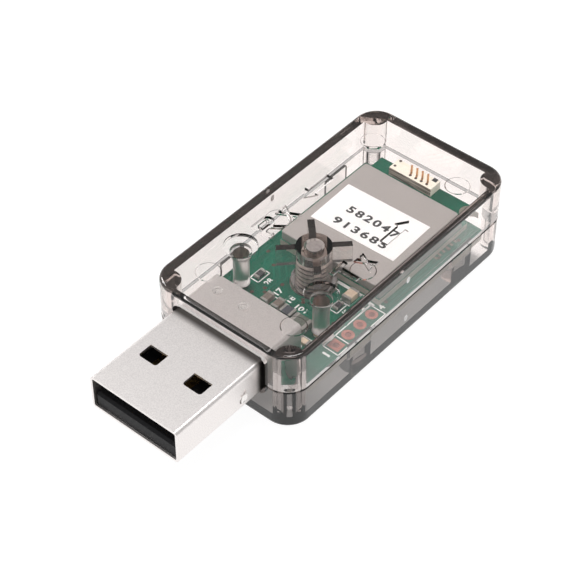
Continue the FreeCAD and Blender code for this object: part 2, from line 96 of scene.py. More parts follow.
def blend_colours(tree, factor, dark, light, socket, low=0.3, high=0.7):
    """Feeds a socket with a colour that runs between two as the factor grows."""
    ramp = tree.nodes.new("ShaderNodeValToRGB")
    ramp.color_ramp.elements[0].position = low
    ramp.color_ramp.elements[0].color = (*dark, 1.0)
    ramp.color_ramp.elements[1].position = high
    ramp.color_ramp.elements[1].color = (*light, 1.0)
    tree.links.new(factor, ramp.inputs["Fac"])
    tree.links.new(ramp.outputs["Color"], socket)


def graded(tree, value, start, end, low, high, soft=False):
    """A value that goes from low to high while another goes from start to end."""
    spread = tree.nodes.new("ShaderNodeMapRange")
    spread.interpolation_type = "SMOOTHSTEP" if soft else "LINEAR"
    spread.inputs["From Min"].default_value = start
    spread.inputs["From Max"].default_value = end
    spread.inputs["To Min"].default_value = low
    spread.inputs["To Max"].default_value = high
    tree.links.new(value, spread.inputs["Value"])
    return spread.outputs["Result"]


def vary_roughness(tree, shader, factor, low, high):
    """Makes a surface shinier in some places than in others."""
    tree.links.new(graded(tree, factor, 0.3, 0.7, low, high), shader.inputs["Roughness"])


def roughen(tree, shader, factor, height_mm, strength=0.6):
    """Gives the surface a fine relief."""
    bump = tree.nodes.new("ShaderNodeBump")
    bump.inputs["Strength"].default_value = strength
    bump.inputs["Distance"].default_value = height_mm * MILLIMETRE
    tree.links.new(factor, bump.inputs["Height"])
    tree.links.new(bump.outputs["Normal"], shader.inputs["Normal"])


def make_clear_plastic(name, roughest):
    """Clear polycarbonate with a smoke tint. Lamps shine through it on what is inside."""
    finish, tree, shader = start_finish(name, roughest)
    shader.inputs["Base Color"].default_value = (1.0, 1.0, 1.0, 1.0)
    shader.inputs["IOR"].default_value = 1.55
    shader.inputs["Transmission Weight"].default_value = 1.0
    smoothest = roughest * 0.8 if roughest > 0.1 else 0.0
    vary_roughness(tree, shader, speckle(tree, 0.5), smoothest, roughest)
    smoke = tree.nodes.new("ShaderNodeVolumeAbsorption")
    smoke.inputs["Color"].default_value = (0.60, 0.50, 0.46, 1.0)
    smoke.inputs["Density"].default_value = 200.0
    straight_through = tree.nodes.new("ShaderNodeBsdfTransparent")
    straight_through.inputs["Color"].default_value = (0.88, 0.875, 0.875, 1.0)
    light_path = tree.nodes.new("ShaderNodeLightPath")
    choice = tree.nodes.new("ShaderNodeMixShader")
    output = tree.nodes["Material Output"]
    tree.links.new(light_path.outputs["Is Shadow Ray"], choice.inputs["Fac"])
    tree.links.new(shader.outputs["BSDF"], choice.inputs[1])
    tree.links.new(straight_through.outputs["BSDF"], choice.inputs[2])
    tree.links.new(choice.outputs["Shader"], output.inputs["Surface"])
    tree.links.new(smoke.outputs["Volume"], output.inputs["Volume"])
    return finish


def make_gate_glint():
    """The gate marks, where the mould's gate broke off, painted near-white as a painted highlight."""
    finish, tree, shader = start_finish("gate_mark_glint", 0.5)
    grain = speckle(tree, 4.0)
    blend_colours(tree, grain, (0.84, 0.835, 0.83), (1.0, 0.99, 0.98), shader.inputs["Base Color"])
    return finish


def make_painted_shade_plastic():
    """Near-black matt plastic: painted shade on the faces where the clear case looks dark, which are the
    rim that the lid sits on, the undersides of the webs and the faces beside the plug.
    """
    finish, tree, shader = start_finish("painted_shade_plastic", 0.6)
    grain = speckle(tree, 3.0)
    blend_colours(tree, grain, (0.020, 0.018, 0.017), (0.034, 0.031, 0.029), shader.inputs["Base Color"])
    roughen(tree, shader, speckle(tree, 12.0), 0.01)
    return finish


def join_flat_faces(shape):
    """Joins the triangles of each flat face into one."""
    bmesh.ops.dissolve_limit(
        shape,
        angle_limit=math.radians(0.4),
        use_dissolve_boundaries=False,
        verts=shape.verts,
        edges=shape.edges,
    )


def copy_of_node(name):
    """A bmesh of a CAD node with its loose triangles joined."""
    shape = bmesh.new()
    shape.from_mesh(nodes[name].data)
    bmesh.ops.remove_doubles(shape, verts=shape.verts, dist=0.0005 * MILLIMETRE)
    join_flat_faces(shape)
    return shape


def add_block(shape, low, high):
    """Adds a block between two corners, given in millimetres from the case's front."""
    a = at(*low)
    b = at(*high)
    size = Matrix.Diagonal((b.x - a.x, b.y - a.y, b.z - a.z, 1.0))
    bmesh.ops.create_cube(shape, size=1.0, matrix=Matrix.Translation((a + b) / 2) @ size)


def add_disc(shape, x, y, radius, z0, z1, segments=48, top_radius=None):
    """Adds an upright cylinder or cone."""
    bmesh.ops.create_cone(
        shape,
        cap_ends=True,
        cap_tris=False,
        segments=segments,
        radius1=radius * MILLIMETRE,
        radius2=(radius if top_radius is None else top_radius) * MILLIMETRE,
        depth=(z1 - z0) * MILLIMETRE,
        matrix=Matrix.Translation(at(x, y, (z0 + z1) / 2)),
    )


def make_mesh(shape, name):
    """Turns a bmesh into a mesh and frees it."""
    mesh = bpy.data.meshes.new(name)
    shape.to_mesh(mesh)
    shape.free()
    return mesh


def smooth_piece(mesh, degrees=35.0):
    """Smooth shading that breaks at corners and leaves each large flat face flat."""
    shape = bmesh.new()
    shape.from_mesh(mesh)
    join_flat_faces(shape)
    shape.normal_update()
    closest = math.cos(math.radians(degrees))
    normals = []
    for face in shape.faces:
        face.smooth = True
        for corner in face.verts:
            level = [f for f in corner.link_faces if f.normal.dot(face.normal) > closest]
            total = sum((f.normal * f.calc_area() for f in level), Vector())
            normals.append(total.normalized() if total.length > 0 else face.normal.copy())
    shape.to_mesh(mesh)
    shape.free()
    mesh.normals_split_custom_set(normals)


def give_finishes(mesh, finishes, pick):
    """Gives a mesh its finishes, and each face the one whose number is picked for it."""
    for finish in finishes:
        mesh.materials.append(finish)
    for polygon in mesh.polygons:
        corners = [in_millimetres(mesh.vertices[i].co) for i in polygon.vertices]
        polygon.material_index = pick(in_millimetres(polygon.center), polygon.normal, corners)


def show(mesh, name, finish, replaced=()):
    """Puts a mesh in the scene as a piece of the dongle. Its finish is None if it has some already."""
    piece = bpy.data.objects.new(name, mesh)
    bpy.context.scene.collection.objects.link(piece)
    if finish:
        mesh.materials.append(finish)
    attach(piece, "root")
    if replaced:
        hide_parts(*replaced)


def carve(mesh, cutters):
    """A mesh after other solids are cut out of it."""
    body = bpy.data.objects.new("carving", mesh)
    bpy.context.scene.collection.objects.link(body)
    tools = []
    for cutter in cutters:
        tool = bpy.data.objects.new("carving_tool", cutter)
        bpy.context.scene.collection.objects.link(tool)
        step = body.modifiers.new("carve", "BOOLEAN")
        step.operation = "DIFFERENCE"
        step.solver = "EXACT"
        step.object = tool
        tools.append(tool)
    bpy.context.view_layer.update()
    graph = bpy.context.evaluated_depsgraph_get()
    carved = bpy.data.meshes.new_from_object(body.evaluated_get(graph))
    for thing in tools + [body]:
        bpy.data.objects.remove(thing)
    return carved


def gate_marks(z):
    """Shallow oval dimples in the middle of the two long sides."""
    shape = bmesh.new()
    oval = Matrix.Diagonal((1.0, 0.85, 1.25, 1.0))
    for side in (-1, 1):
        bmesh.ops.create_uvsphere(
            shape,
            u_segments=32,
            v_segments=16,
            radius=GATE_RADIUS * MILLIMETRE,
            matrix=Matrix.Translation(at(side * (CASE_HALF_WIDTH + GATE_LIFT), GATE_Y, z)) @ oval,
        )
    return make_mesh(shape, "gate_marks")


def in_gate_mark(centre):
    """True for the faces in the gate marks, which carry the painted highlight."""
    near_mark = min(abs(centre.z - BOTTOM_GATE_Z), abs(centre.z - TOP_GATE_Z)) < 0.9
    under_wall_face = CASE_HALF_WIDTH - 0.3 < abs(centre.x) < CASE_HALF_WIDTH - 0.01
    return near_mark and abs(centre.y - GATE_Y) < 0.6 and under_wall_face


def beside_plug(centre, normal):
    """True for the faces of the front wall that stand beside the plug."""
    in_wall = 0.05 < centre.y < 1.0 and 6.0 < abs(centre.x) < 6.6
    return in_wall and abs(normal.x) > 0.9 and centre.z < 9.0


def on_bottom_rim(centre, normal):
    """True for the narrow face that the lid sits on."""
    return abs(centre.z - RIM_HEIGHT) < 0.02 and normal.z > 0.9


def bottom_plastic(centre, normal, corners):
    """Which of the plastics a face of the bottom shell has."""
    # The gate marks get a painted highlight: near-white.
    if in_gate_mark(centre):
        return PAINTED_GLINT
    # The rim face and the faces beside the plug get painted shade: near-black plastic.
    if on_bottom_rim(centre, normal) or beside_plug(centre, normal):
        return PAINTED_SHADE
    return CLEAR


shell_plastics = [
    make_clear_plastic("clear_smoke_plastic", 0.012),
    make_painted_shade_plastic(),
    make_gate_glint(),
    make_clear_plastic("frosted_smoke_plastic", 0.5),
    make_clear_plastic("satin_smoke_plastic", 0.35),
]
bottom_mesh = carve(make_mesh(copy_of_node("bottom_shell"), "bottom_shell"), [gate_marks(BOTTOM_GATE_Z)])
give_finishes(bottom_mesh, shell_plastics, bottom_plastic)
smooth_piece(bottom_mesh)
show(bottom_mesh, "clear_bottom_shell", None, ["bottom_shell"])

# Main board
# A rigid green circuit board, 1 mm thick, cut from woven glass laminate. Its two faces carry
# solder mask over the copper lines, with white print on top, and its edges are bare.

BOARD_TOP = 4.09
BOARD_LEFT = -8.08
INK = 0.012


def make_solder_mask():
    """Green lacquer over copper, half gloss, a little uneven in depth."""
    finish, tree, shader = start_finish("green_solder_mask", 0.32)
    clouds = speckle(tree, 0.9, 4.0)
    blend_colours(tree, clouds, (0.0, 0.094, 0.052), (0.001, 0.132, 0.076), shader.inputs["Base Color"])
    vary_roughness(tree, shader, speckle(tree, 4.0), 0.26, 0.4)
    shader.inputs["Specular IOR Level"].default_value = 0.06
    roughen(tree, shader, speckle(tree, 5.0), 0.006)
    return finish


def make_masked_copper():
    """The same lacquer where it runs over copper: a shade lighter."""
    finish, tree, shader = start_finish("green_mask_on_copper", 0.3)
    clouds = speckle(tree, 1.4, 3.0)
    blend_colours(tree, clouds, (0.001, 0.135, 0.082), (0.004, 0.170, 0.105), shader.inputs["Base Color"])
    shader.inputs["Specular IOR Level"].default_value = 0.06
    roughen(tree, shader, speckle(tree, 6.0), 0.004)
    return finish


def make_laminate_edge():
    """The sawn edge of glass laminate, pale taupe with the layers just showing."""
    finish, tree, shader = start_finish("laminate_edge", 0.55)
    layers = speckle(tree, 0.6, 3.0, (1.0, 1.0, 14.0))
    blend_colours(tree, layers, (0.48, 0.44, 0.37), (0.64, 0.60, 0.52), shader.inputs["Base Color"])
    roughen(tree, shader, layers, 0.015)
    return finish


def make_white_print():
    """Screen-printed white ink."""
    finish, tree, shader = start_finish("white_print", 0.5)
    grain = speckle(tree, 6.0)
    blend_colours(tree, grain, (0.88, 0.89, 0.87), (0.95, 0.96, 0.94), shader.inputs["Base Color"])
    roughen(tree, shader, speckle(tree, 10.0), 0.004)
    return finish


def mask_or_edge(centre, normal, corners):
    """A board's edge faces are bare laminate, and the rest is lacquered."""
    return 0 if abs(normal.z) > 0.5 else 1


def dress_board(node_name, name, left_edge):
    """A green board, its left edge moved in to the given place."""
    shape = copy_of_node(node_name)
    for vertex in shape.verts:
        vertex.co.x = max(vertex.co.x, left_edge * MILLIMETRE)
    mesh = make_mesh(shape, name)
    give_finishes(mesh, [solder_mask, laminate_edge], mask_or_edge)
    smooth_piece(mesh, 30.0)
    show(mesh, name, None, [node_name])


def add_line(shape, points, width, z, height=INK):
    """Adds a flat printed or etched line that runs through points given in millimetres."""
    for (x0, y0), (x1, y1) in zip(points, points[1:]):
        length = math.hypot(x1 - x0, y1 - y0) + width
        turn = math.atan2(y1 - y0, x1 - x0)
        place = Matrix.Translation(at((x0 + x1) / 2, (y0 + y1) / 2, z + height / 2))
        size = Matrix.Diagonal((length * MILLIMETRE, width * MILLIMETRE, height * MILLIMETRE, 1.0))
        bmesh.ops.create_cube(shape, size=1.0, matrix=place @ Matrix.Rotation(turn, 4, "Z") @ size)


def add_frame(shape, x0, x1, y0, y1, width, z):
    """Adds a printed rectangle."""
    add_line(shape, [(x0, y0), (x1, y0), (x1, y1), (x0, y1), (x0, y0)], width, z)


def lettering(body, place, width, tall, height, bolder=0.0, spacing=1.0):
    """A solid mesh of characters that fills a box of the given width from the place's origin."""
    curve = bpy.data.curves.new("characters", "FONT")
    curve.body = body
    curve.size = tall / 0.7 * MILLIMETRE
    curve.extrude = height / 2 * MILLIMETRE
    curve.space_character = spacing
    curve.offset = bolder * MILLIMETRE
    curve.resolution_u = 5
    writing = bpy.data.objects.new("characters", curve)
    bpy.context.scene.collection.objects.link(writing)
    bpy.context.view_layer.update()
    graph = bpy.context.evaluated_depsgraph_get()
    mesh = bpy.data.meshes.new_from_object(writing.evaluated_get(graph))
    bpy.data.objects.remove(writing)
    shape = bmesh.new()
    shape.from_mesh(mesh)
    bmesh.ops.remove_doubles(shape, verts=shape.verts, dist=0.0002 * MILLIMETRE)
    low = [min(v.co[axis] for v in shape.verts) for axis in range(3)]
    high = [max(v.co[axis] for v in shape.verts) for axis in range(3)]
    bmesh.ops.translate(shape, vec=[-c for c in low], verts=shape.verts)
    wanted = (width, tall, height)
    stretch = [wanted[axis] * MILLIMETRE / (high[axis] - low[axis]) for axis in range(3)]
    bmesh.ops.scale(shape, vec=stretch, verts=shape.verts)
    bmesh.ops.transform(shape, matrix=place, verts=shape.verts)
    return make_mesh(shape, "characters")


def add_characters(shape, body, x, y, z, width, tall, turn=0.0, height=INK, bolder=0.01, spacing=1.0):
    """Adds printed characters to a bmesh, from their lower left corner."""
    place = Matrix.Translation(at(x, y, z)) @ Matrix.Rotation(math.radians(turn), 4, "Z")
    shape.from_mesh(lettering(body, place, width, tall, height, bolder, spacing))


solder_mask = make_solder_mask()
masked_copper = make_masked_copper()
laminate_edge = make_laminate_edge()
white_print = make_white_print()

dress_board("main_board", "green_main_board", BOARD_LEFT)

tracks = bmesh.new()
TRACK_RUNS = (
    ((-7.6, 16.9), (-7.6, 10.5), (-6.9, 8.4)),
    ((-7.2, 16.9), (-7.2, 12.6), (-6.4, 11.5)),
    ((-6.3, 16.8), (-6.3, 14.6), (-5.2, 13.4)),
    ((-5.7, 16.8), (-5.7, 15.2), (-3.4, 12.9), (-3.4, 11.3)),
    ((-5.2, 16.8), (-5.2, 15.6), (-3.0, 13.4), (-3.0, 10.8)),
    ((-4.7, 16.8), (-4.7, 16.2), (-2.6, 14.1), (-2.6, 11.6), (-1.9, 10.9)),
    ((-0.4, 10.9), (-0.4, 12.3), (1.2, 12.3)),
    ((1.3, 10.5), (2.4, 11.6), (3.6, 11.6), (3.6, 13.0)),
    ((2.1, 10.9), (3.0, 11.1), (4.2, 11.1)),
    ((4.4, 15.0), (3.4, 15.4), (3.0, 16.4)),
    ((5.5, 17.2), (5.5, 14.6), (6.0, 13.0)),
    ((8.0, 18.0), (8.0, 33.5)),
    ((7.5, 18.5), (7.5, 33.5)),
    ((7.1, 19.5), (7.1, 26.5)),
    ((-7.6, 18.5), (-7.6, 33.8)),
    ((-7.1, 20.5), (-7.1, 31.5)),
)
for run in TRACK_RUNS:
    add_line(tracks, run, 0.2, BOARD_TOP, 0.014)
show(make_mesh(tracks, "board_tracks"), "board_tracks", masked_copper)

print_marks = bmesh.new()
for x0, x1, y0, y1, width in (
    (6.1, 8.05, 9.05, 17.1, 0.14),
    (-5.7, -4.5, 11.45, 13.35, 0.14),
    (4.0, 5.45, 15.1, 17.15, 0.14),
    (3.95, 5.05, 13.35, 15.0, 0.13),
):
    add_frame(print_marks, x0, x1, y0, y1, width, BOARD_TOP)
for width, points in (
    (0.14, ((6.1, 11.1), (8.05, 11.1))),
    (0.13, ((-2.55, 9.1), (-2.55, 10.95), (-1.2, 10.95), (-1.2, 9.1))),
    (0.13, ((-1.05, 9.1), (-1.05, 10.95), (0.25, 10.95), (0.25, 9.1))),
    (0.13, ((-6.3, 8.9), (-6.3, 11.0), (-5.8, 11.0))),
    (0.13, ((4.3, 7.6), (4.3, 8.5), (5.6, 8.5))),
    (0.4, ((2.2, 17.2), (6.2, 17.2))),
):
    add_line(print_marks, points, width, BOARD_TOP)
for digits, x, y, width, tall, turn in (
    ("28", -3.3, 11.75, 1.0, 0.8, 90.0),
    ("17", -1.5, 11.3, 1.05, 0.8, 90.0),
    ("18", 0.25, 11.3, 1.05, 0.8, 90.0),
    ("101", 1.0, 11.0, 1.4, 0.75, 0.0),
    ("4", 5.7, 15.7, 0.5, 0.7, 0.0),
    ("5", 5.3, 13.8, 0.45, 0.65, 0.0),
    ("32", 5.35, 6.9, 1.0, 0.8, 90.0),
    ("1", 7.5, 8.2, 0.28, 0.9, 90.0),
    ("4", 7.5, 17.35, 0.6, 0.85, 90.0),
):
    add_characters(print_marks, digits, x, y, BOARD_TOP, width, tall, turn, INK, 0.03)
show(make_mesh(print_marks, "board_print"), "board_print", white_print)

# Plated holes
# Four copper-plated holes for a header that isn't fitted, and the small through holes that
# join the board's two faces. The copper is bare and has gone a little brown.


def make_copper(name, dark, light):
    """Bare copper, satin, with warm stains."""
    finish, tree, shader = start_finish(name, 0.38, 0.55)
    blend_colours(tree, speckle(tree, 2.2, 3.0), dark, light, shader.inputs["Base Color"])
    vary_roughness(tree, shader, speckle(tree, 5.0), 0.3, 0.48)
    roughen(tree, shader, speckle(tree, 9.0), 0.006)
    return finish


bare_copper = make_copper("bare_copper", (0.44, 0.14, 0.10), (0.62, 0.22, 0.16))
shaded_copper = make_copper("shaded_copper", (0.22, 0.072, 0.050), (0.34, 0.115, 0.082))
brown_copper = make_copper("brown_copper", (0.050, 0.026, 0.018), (0.12, 0.058, 0.040))
HEADER_X = 6.997
HEADER_FIRST_Y = 10.05
HEADER_PITCH = 2.01
HEADER_HOLE = 0.35

barrels = bmesh.new()
for number in range(4):
    pad_mesh = make_mesh(copy_of_node("header_pad_%d" % (number + 1)), "header_pad")
    smooth_piece(pad_mesh, 30.0)
    pad_name = "copper_pad_%d" % (number + 1)
    show(pad_mesh, pad_name, bare_copper, ["header_pad_%d" % (number + 1)])
    y = HEADER_FIRST_Y + HEADER_PITCH * number
    # A disc of darker copper in each hole, just below the board's face: painted shade in the hole.
    add_disc(barrels, HEADER_X, y, HEADER_HOLE, BOARD_TOP - 0.3, BOARD_TOP - 0.03, 24)
show(make_mesh(barrels, "header_barrels"), "header_barrels", shaded_copper)

vias = bmesh.new()
for x, y in (
    (-6.6, 12.0), (-3.4, 11.3), (-3.0, 10.8), (-5.0, 14.6), (-2.3, 12.9), (-3.9, 15.9), (0.9, 12.6),
    (2.3, 12.9), (3.6, 13.1), (-6.9, 15.9), (5.7, 12.0), (-4.1, 9.9), (1.2, 12.3), (7.2, 27.8),
    (7.2, 29.7), (7.2, 31.6), (6.95, 18.6), (-7.2, 19.4), (-7.4, 26.0), (-7.4, 32.0),
):
    add_disc(vias, x, y, 0.24, BOARD_TOP, BOARD_TOP + 0.02, 20, 0.2)
show(make_mesh(vias, "through_holes"), "through_holes", brown_copper)

# Parts on and under the board
# Chip resistors, capacitors, a ferrite bead and a fuse, each a fired block with tinned ends
# soldered to the board. The bridge chip, its crystal and the regulator sit underneath.


def make_plain_finish(name, dark, light, roughness, grains=3.0, metallic=0.0, relief=0.006):
    """A fired, moulded or plated surface: two close shades and a fine relief."""
    finish, tree, shader = start_finish(name, roughness, metallic)
    factor = speckle(tree, grains, 3.0)
    blend_colours(tree, factor, dark, light, shader.inputs["Base Color"])
    vary_roughness(tree, shader, speckle(tree, grains * 2.0), roughness * 0.85, roughness * 1.15)
    roughen(tree, shader, speckle(tree, grains * 3.0), relief)
    return finish


tinned_end = make_plain_finish("tinned_end", (0.34, 0.325, 0.30), (0.50, 0.48, 0.45), 0.34, 5.0, 0.85)
black_chip = make_plain_finish("black_chip", (0.018, 0.018, 0.020), (0.034, 0.034, 0.038), 0.45)
tan_chip = make_plain_finish("tan_chip", (0.17, 0.135, 0.11), (0.25, 0.205, 0.17), 0.4)
gold_chip = make_plain_finish("gold_chip", (0.70, 0.54, 0.38), (0.86, 0.72, 0.56), 0.36)
slate_chip = make_plain_finish("slate_chip", (0.034, 0.040, 0.052), (0.060, 0.068, 0.086), 0.4)
fuse_green = make_plain_finish("fuse_green", (0.07, 0.085, 0.065), (0.12, 0.14, 0.105), 0.42)
CAP_SHARE = 0.2


def round_edges(shape, edges, width_mm, segments):
    """Rounds some edges of a bmesh."""
    bmesh.ops.bevel(
        shape,
        geom=edges,
        offset=width_mm * MILLIMETRE,
        offset_type="OFFSET",
        segments=segments,
        profile=0.5,
        affect="EDGES",
        clamp_overlap=True,
        material=-1,
    )


def show_softened(shape, width_mm, segments, name, finish, replaced=()):
    """Rounds every edge of a bmesh a little and shows it as a piece."""
    round_edges(shape, shape.edges[:], width_mm, segments)
    mesh = make_mesh(shape, name)
    smooth_piece(mesh)
    show(mesh, name, finish, replaced)


def corners_of(node_name):
    """The lowest and the highest corner of a node's box, in millimetres."""
    low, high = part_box(node_name)
    return in_millimetres(low), in_millimetres(high)


def chip_part(node_name, body_finish):
    """A chip part: its fired body and its two tinned end caps."""
    low, high = corners_of(node_name)
    along = 0 if high.x - low.x > high.y - low.y else 1
    cap = (high[along] - low[along]) * CAP_SHARE
    body = bmesh.new()
    add_block(body, low + Vector((0.02, 0.02, 0.0)), high - Vector((0.02, 0.02, 0.02)))
    show_softened(body, 0.03, 2, node_name + "_body", body_finish, [node_name])
    caps = bmesh.new()
    near_end = high.copy()
    near_end[along] = low[along] + cap
    add_block(caps, low, near_end)
    far_end = low.copy()
    far_end[along] = high[along] - cap
    add_block(caps, far_end, high)
    show_softened(caps, 0.04, 2, node_name + "_ends", tinned_end)


for node_name, finish, slot in (
    ("rx_led_resistor", black_chip, "chip_black"),
    ("tx_led_resistor", gold_chip, "chip_black"),
    ("supply_resistor", black_chip, "chip_black"),
    ("plug_capacitor_1", tan_chip, "chip_tan"),
    ("plug_capacitor_2", tan_chip, "chip_tan"),
    ("ferrite_bead", slate_chip, "chip_grey"),
    ("resettable_fuse", fuse_green, "chip_green"),
    ("supply_inductor", gold_chip, "chip_tan"),
    ("bridge_capacitor_1", tan_chip, "chip_tan"),
    ("bridge_capacitor_2", tan_chip, "chip_tan"),
    ("crystal_capacitor_1", tan_chip, "chip_tan"),
    ("crystal_capacitor_2", tan_chip, "chip_tan"),
    ("regulator_capacitor", tan_chip, "chip_tan"),
):
    chip_part(node_name, finish)


def dress_node(node_name, finish, degrees=30.0):
    """Keeps a CAD node's shape and gives it a finish and smooth rounds."""
    mesh = make_mesh(copy_of_node(node_name), node_name)
    smooth_piece(mesh, degrees)
    show(mesh, node_name + "_shown", finish, [node_name])


dress_node("bridge_chip", black_chip)
dress_node("bridge_crystal", tinned_end)
dress_node("regulator", black_chip)

# Indicator lights
# Two small surface-mounted lights, one under each light pipe: a white base with gilt ends
# and a clear yellowish block cast over the die.

led_base = make_plain_finish("led_base", (0.60, 0.58, 0.50), (0.74, 0.72, 0.64), 0.45)
led_block = make_plain_finish("led_block", (0.62, 0.60, 0.42), (0.78, 0.76, 0.58), 0.2)
gilt = make_plain_finish("gilt_end", (0.70, 0.48, 0.24), (0.86, 0.64, 0.36), 0.3, 4.0, 0.85)
for node_name in ("rx_led", "tx_led"):
    low, high = corners_of(node_name)
    base_top = low.z + 0.2
    base = bmesh.new()
    add_block(base, low, (high.x, high.y, base_top))
    round_edges(base, base.edges[:], 0.02, 2)
    show(make_mesh(base, node_name), node_name + "_base", led_base, [node_name])
    ends = bmesh.new()
    for y in (low.y, high.y - 0.3):
        add_block(ends, (low.x + 0.02, y, base_top), (high.x - 0.02, y + 0.3, base_top + 0.025))
    show(make_mesh(ends, node_name), node_name + "_ends", gilt)
    block = bmesh.new()
    add_block(block, (low.x + 0.02, low.y + 0.33, base_top), (high.x - 0.02, high.y - 0.33, high.z))
    show_softened(block, 0.05, 3, node_name + "_block", led_block)

# Radio module
# A second green board soldered on top of the first, with a tinned can over its chips. Dull
# copper strips beside its edges join the two boards.

MODULE_TOP = 4.89
MODULE_LEFT = -6.62
JOINT_PLACES = (-7.2, 6.76)
JOINT_FRONT = 27.4
JOINT_PITCH = 0.72
JOINT_WIDTH = 0.44
JOINT_LENGTH = 0.3
JOINT_TOP = BOARD_TOP + 0.05

dress_board("module_board", "green_module_board", MODULE_LEFT)
dress_node("radio_chip", black_chip)
dress_node("radio_crystal", tinned_end)

dull_joint = make_plain_finish("dull_joint", (0.16, 0.115, 0.075), (0.26, 0.20, 0.14), 0.4, 5.0)
joints = bmesh.new()
for x in JOINT_PLACES:
    for step in range(6):
        y = JOINT_FRONT + step * JOINT_PITCH
        add_block(joints, (x, y, BOARD_TOP), (x + JOINT_WIDTH, y + JOINT_LENGTH, JOINT_TOP))
round_edges(joints, joints.edges[:], 0.015, 2)
show(make_mesh(joints, "module_joints"), "module_joints", dull_joint)

# Shield can
# Tinned sheet steel, 0.2 mm thick, drawn into a shallow lid and soldered down over the radio
# chip. Its face is matt and slightly warm.

SHIELD_TOP = 6.0
SHIELD_EDGE = 6.68
SHIELD_FRONT = 17.8
SHIELD_BACK = 32.92
SHIELD_SHEET = 0.2
SHIELD_CORNER = 0.28
SHIELD_FOLD = 0.14

matt_tin = make_plain_finish("matt_tin", (0.43, 0.40, 0.385), (0.53, 0.50, 0.48), 0.45, 7.0, 0.5, 0.01)


def facing_down(shape):
    """The faces of a bmesh that look down."""
    return [face for face in shape.faces if face.normal.z < -0.5]


def shield_can():
    """The shallow lid: its plate and four low walls, with sharp folds and square corners."""
    shape = bmesh.new()
    add_block(shape, (-SHIELD_EDGE, SHIELD_FRONT, MODULE_TOP), (SHIELD_EDGE, SHIELD_BACK, SHIELD_TOP))
    upright = [
        edge
        for edge in shape.edges
        if abs(edge.verts[0].co.z - edge.verts[1].co.z) > 0.5 * MILLIMETRE
    ]
    round_edges(shape, upright, SHIELD_CORNER, 5)
    made = bmesh.ops.inset_region(shape, faces=facing_down(shape), thickness=SHIELD_SHEET * MILLIMETRE)
    inner = [face for face in facing_down(shape) if face not in made["faces"]]
    bmesh.ops.translate(
        shape,
        vec=(0.0, 0.0, (SHIELD_TOP - SHIELD_SHEET - MODULE_TOP) * MILLIMETRE),
        verts=list({vertex for face in inner for vertex in face.verts}),
    )
    top_edges = [
        edge
        for edge in shape.edges
        if all(vertex.co.z > (SHIELD_TOP - 0.01) * MILLIMETRE for vertex in edge.verts)
    ]
    rim = [edge for edge in top_edges if len(edge.link_faces) == 2 and edge.calc_face_angle() > 1.0]
    round_edges(shape, rim, SHIELD_FOLD, 3)
    return make_mesh(shape, "shield_can")


shield_mesh = shield_can()
smooth_piece(shield_mesh, 40.0)
show(shield_mesh, "shield_can", matt_tin, ["module_shield"])

# Label
# A white paper label stuck on the can, a little askew. Two rows of black figures are printed
# on it.

label_paper = make_plain_finish(
    "label_paper", (0.90, 0.90, 0.895), (0.95, 0.95, 0.945), 0.55, 4.0, 0.0, 0.004
)
black_ink = make_plain_finish("black_ink", (0.010, 0.010, 0.011), (0.020, 0.020, 0.022), 0.5, 6.0)
LABEL_TOP = 6.06
LABEL_HALF_WIDTH = 5.73
LABEL_LENGTH = 6.95
LABEL_TURN = 1.6


def brighten(finish, tint, strength):
    """Gives a pale finish a little light of its own, to make up for what the lid takes away."""
    shader = finish.node_tree.nodes["Principled BSDF"]
    shader.inputs["Emission Color"].default_value = (*tint, 1.0)
    shader.inputs["Emission Strength"].default_value = strength


brighten(label_paper, (1.0, 1.0, 1.0), 0.16)
label = bmesh.new()
middle_y = (SHIELD_FRONT + SHIELD_BACK) / 2
add_block(
    label,
    (-LABEL_HALF_WIDTH, middle_y - LABEL_LENGTH / 2, SHIELD_TOP),
    (LABEL_HALF_WIDTH, middle_y + LABEL_LENGTH / 2, LABEL_TOP),
)
bmesh.ops.rotate(
    label,
    cent=at(0, middle_y, 0),
    matrix=Matrix.Rotation(math.radians(LABEL_TURN), 3, "Z"),
    verts=label.verts,
)
show(make_mesh(label, "paper_label"), "paper_label", label_paper, ["module_label"])
figures = bmesh.new()
for digits, x, y, width in (("582047", -3.25, 24.9, 7.0), ("913685", -3.4, 22.56, 7.3)):
    add_characters(figures, digits, x, y, LABEL_TOP, width, 1.15, LABEL_TURN, 0.01, 0.055, 1.3)
show(make_mesh(figures, "label_figures"), "label_figures", black_ink)

# Aerial
# A layered ceramic block, soldered at the module's far end. Copper strips are printed and fired
# on its top, each with a round dot at its near end.

AERIAL_TOP = 5.99


def make_layered_ceramic():
    """The cut side of the block: thin fired layers, brown and grey in turn."""
    finish, tree, shader = start_finish("layered_ceramic", 0.55)
    layers = speckle(tree, 0.8, 2.0, (0.35, 0.35, 6.0))
    base = shader.inputs["Base Color"]
    blend_colours(tree, layers, (0.16, 0.115, 0.092), (0.86, 0.70, 0.60), base, 0.38, 0.62)
    roughen(tree, shader, layers, 0.02)
    return finish


cream_ceramic = make_plain_finish("cream_ceramic", (0.90, 0.84, 0.70), (0.97, 0.93, 0.82), 0.5)
brighten(cream_ceramic, (1.0, 0.96, 0.84), 0.14)


def cream_or_layers(centre, normal, corners):
    """The block's near side is cut and shows its layers."""
    return 1 if normal.y < -0.7 else 0


aerial_mesh = make_mesh(copy_of_node("chip_aerial"), "chip_aerial")
give_finishes(aerial_mesh, [cream_ceramic, make_layered_ceramic()], cream_or_layers)
smooth_piece(aerial_mesh, 30.0)
show(aerial_mesh, "ceramic_aerial", None, ["chip_aerial"])

